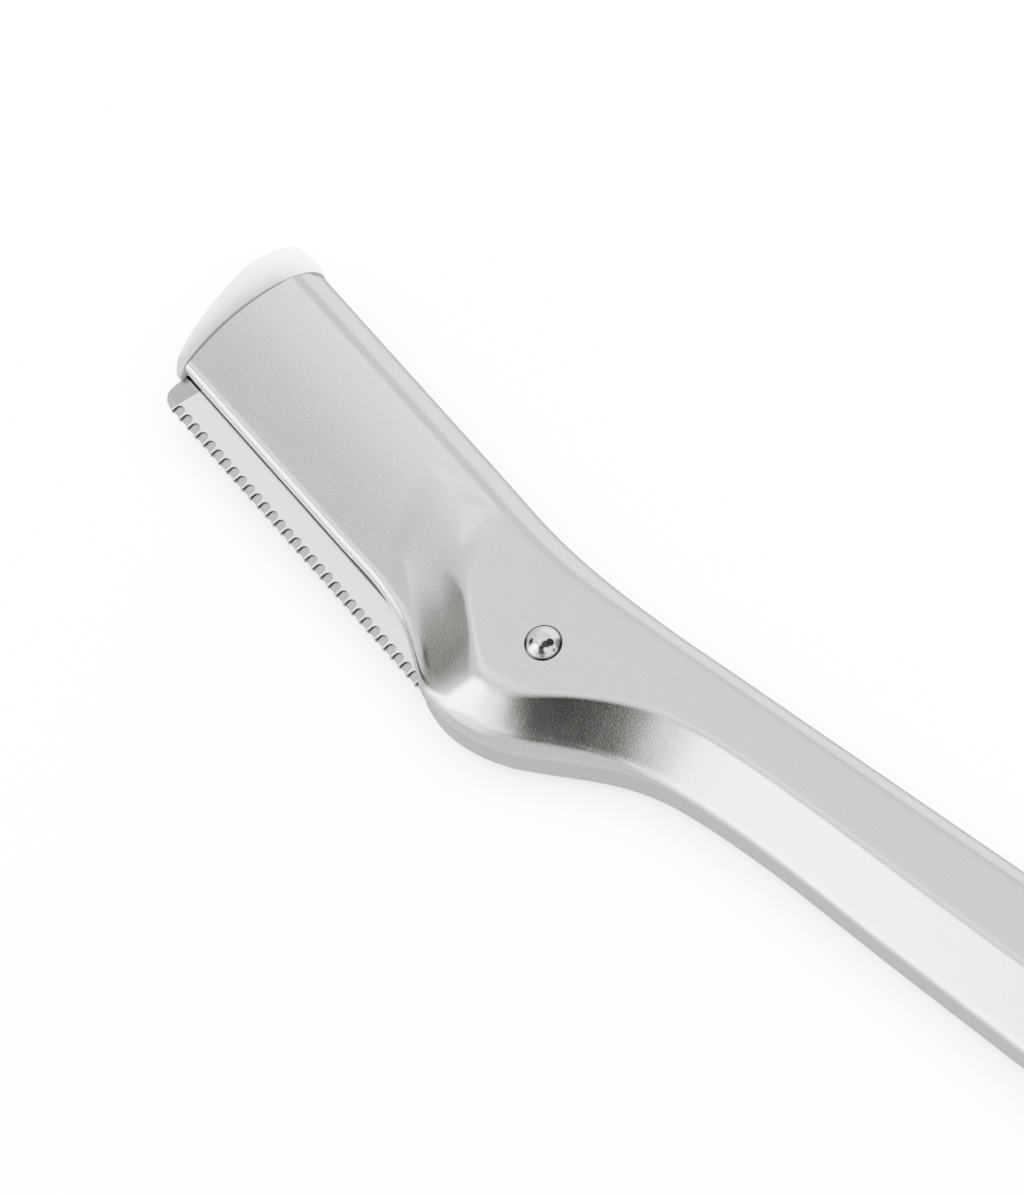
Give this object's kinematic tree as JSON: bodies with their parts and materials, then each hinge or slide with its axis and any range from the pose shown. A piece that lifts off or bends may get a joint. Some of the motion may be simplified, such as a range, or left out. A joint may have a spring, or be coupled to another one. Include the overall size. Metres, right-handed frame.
{
  "type": "eyebrow razor",
  "caption": "Eyebrow razor: a slim two-shell metal body with a guarded blade on a holder that swings out about one rivet and has a thumb tab at its end.",
  "frame": {"origin": "the middle of the flat strip on the back shell, under the grip, on which the razor lies; the plane z = 0 is that strip's plane", "axes": "+X runs along the handle towards its tail, +Y towards the spine, away from the cutting edge, +Z out of the front shell, away from the floor"},
  "size_m": [0.1503, 0.025, 0.0092],
  "materials": {
    "satin_steel": "fine bead-blasted satin",
    "polished_steel": "mirror polish",
    "blade_steel": "ground, satin",
    "guard_steel": "pale satin, rolled sheet",
    "turned_steel": "turned",
    "spring_steel": "cold rolled",
    "white_plastic": "moulded, soft gloss",
    "washer_nylon": "plain moulded"
  },
  "bodies": {
    "body": {"front_shell": "satin_steel", "back_shell": "satin_steel", "stud_neck": "turned_steel", "stud_middle": "turned_steel", "stud_tail": "turned_steel", "pivot_rivet": "polished_steel", "pivot_bush": "turned_steel", "front_washer": "washer_nylon", "spring_washer": "spring_steel", "stop_pin": "turned_steel", "spring_pin": "turned_steel", "detent_spring": "spring_steel"},
    "blade_unit": {"blade_holder": "white_plastic", "blade": "blade_steel", "guard_front": "guard_steel", "guard_back": "guard_steel", "blade_pin_heel": "turned_steel", "blade_pin_middle": "turned_steel", "blade_pin_end": "turned_steel"}
  },
  "joints": [
    {"name": "blade_swing", "type": "hinge", "parent": "body", "child": "blade_unit", "pos_m": [-0.042, -0.00432, 0.0042], "axis": [0, 0, -1], "range_deg": [0, 13]}
  ]
}
